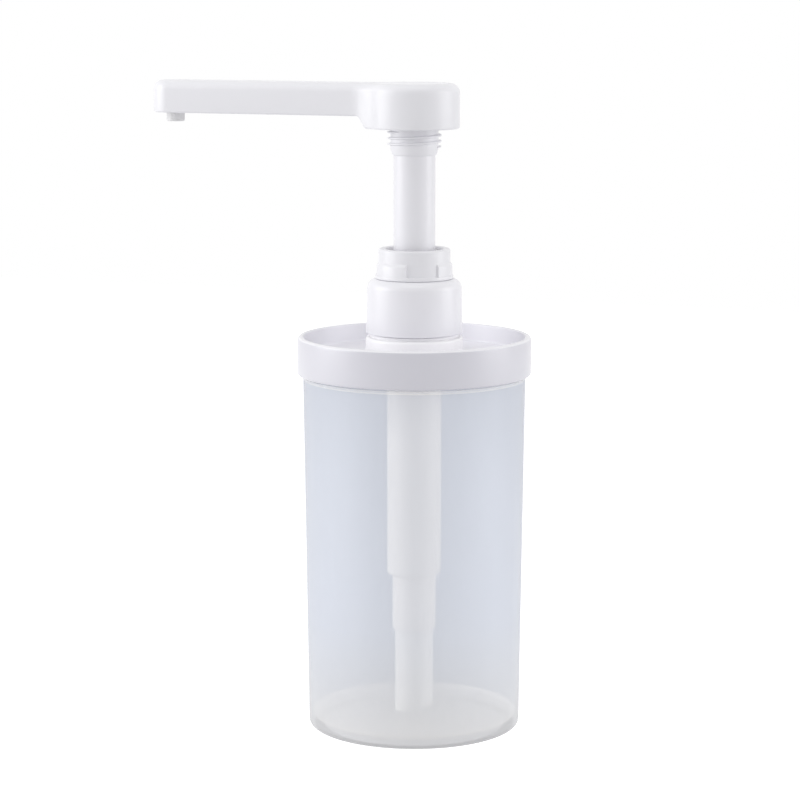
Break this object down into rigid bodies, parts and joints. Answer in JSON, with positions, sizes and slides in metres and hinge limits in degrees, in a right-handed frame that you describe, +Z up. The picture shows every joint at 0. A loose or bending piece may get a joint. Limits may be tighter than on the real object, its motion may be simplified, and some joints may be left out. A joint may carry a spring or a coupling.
{
  "type": "honey pump bottle",
  "caption": "Translucent round jar with a white screw lid and a hand pump: long spout arm on a sprung stem, lock collar, barrel, valve balls and dip tube, for dispensing honey or syrup.",
  "frame": {"origin": "centre of the jar's foot ring, on the surface that the bottle stands on", "axes": "+Z up along the jar and the pump stem, -X along the spout arm"},
  "size_m": [0.1719, 0.1008, 0.28],
  "materials": {
    "translucent_jar": "translucent moulded polypropylene",
    "white_plastic": "smooth white moulding",
    "natural_plastic": "natural polyethylene",
    "tube_plastic": "milky extruded tube",
    "seal_rubber": "soft pale seal",
    "steel": "plain stainless"
  },
  "bodies": {
    "jar": {"jar": "translucent_jar"},
    "lid_seal": {"lid_gasket": "seal_rubber"},
    "lid": {"lid": "white_plastic"},
    "pump": {"barrel": "white_plastic", "neck_gasket": "seal_rubber", "collar": "white_plastic", "stem_seal": "seal_rubber", "ball_cage": "natural_plastic", "spring": "steel", "dip_tube": "tube_plastic"},
    "closure": {"closure": "white_plastic"},
    "piston": {"piston": "natural_plastic"},
    "plunger": {"head": "white_plastic", "head_cover": "white_plastic", "nozzle": "natural_plastic", "stem": "white_plastic", "stem_oring": "seal_rubber", "stem_foot": "natural_plastic"},
    "upper_ball": {"upper_ball": "steel"},
    "lower_ball": {"lower_ball": "steel"}
  },
  "joints": [
    {"name": "lid_lift", "type": "slide", "parent": "jar", "child": "lid_seal", "axis": [0, 0, 1], "range_m": [0, 0.0033]},
    {"name": "lid_turn", "type": "hinge", "parent": "lid_seal", "child": "lid", "pos_m": [0, 0, 0.158], "axis": [0, 0, 1], "range_deg": [0, 396.2]},
    {"name": "pump_lift", "type": "slide", "parent": "lid", "child": "pump", "axis": [0, 0, 1], "range_m": [0, 0.0064]},
    {"name": "closure_turn", "type": "hinge", "parent": "pump", "child": "closure", "pos_m": [0, 0, 0.184], "axis": [0, 0, 1], "range_deg": [0, 720.4]},
    {"name": "pump_stroke", "type": "slide", "parent": "pump", "child": "piston", "axis": [0, 0, -1], "range_m": [0, 0.0385], "stiffness_N_per_m": 250, "springref_m": -0.03, "deforming": ["spring"]},
    {"name": "head_swivel", "type": "hinge", "parent": "piston", "child": "plunger", "pos_m": [0, 0, 0.24], "axis": [0, 0, 1], "continuous": true},
    {"name": "upper_ball_lift", "type": "slide", "parent": "plunger", "child": "upper_ball", "axis": [0, 0, 1], "range_m": [0, 0.003]},
    {"name": "lower_ball_lift", "type": "slide", "parent": "pump", "child": "lower_ball", "axis": [0, 0, 1], "range_m": [0, 0.003]}
  ],
  "couplings": [
    {"joint": "lid_turn", "follows": "lid_lift", "rad_per_m": 2094.4},
    {"joint": "closure_turn", "follows": "pump_lift", "rad_per_m": 1963.5}
  ]
}
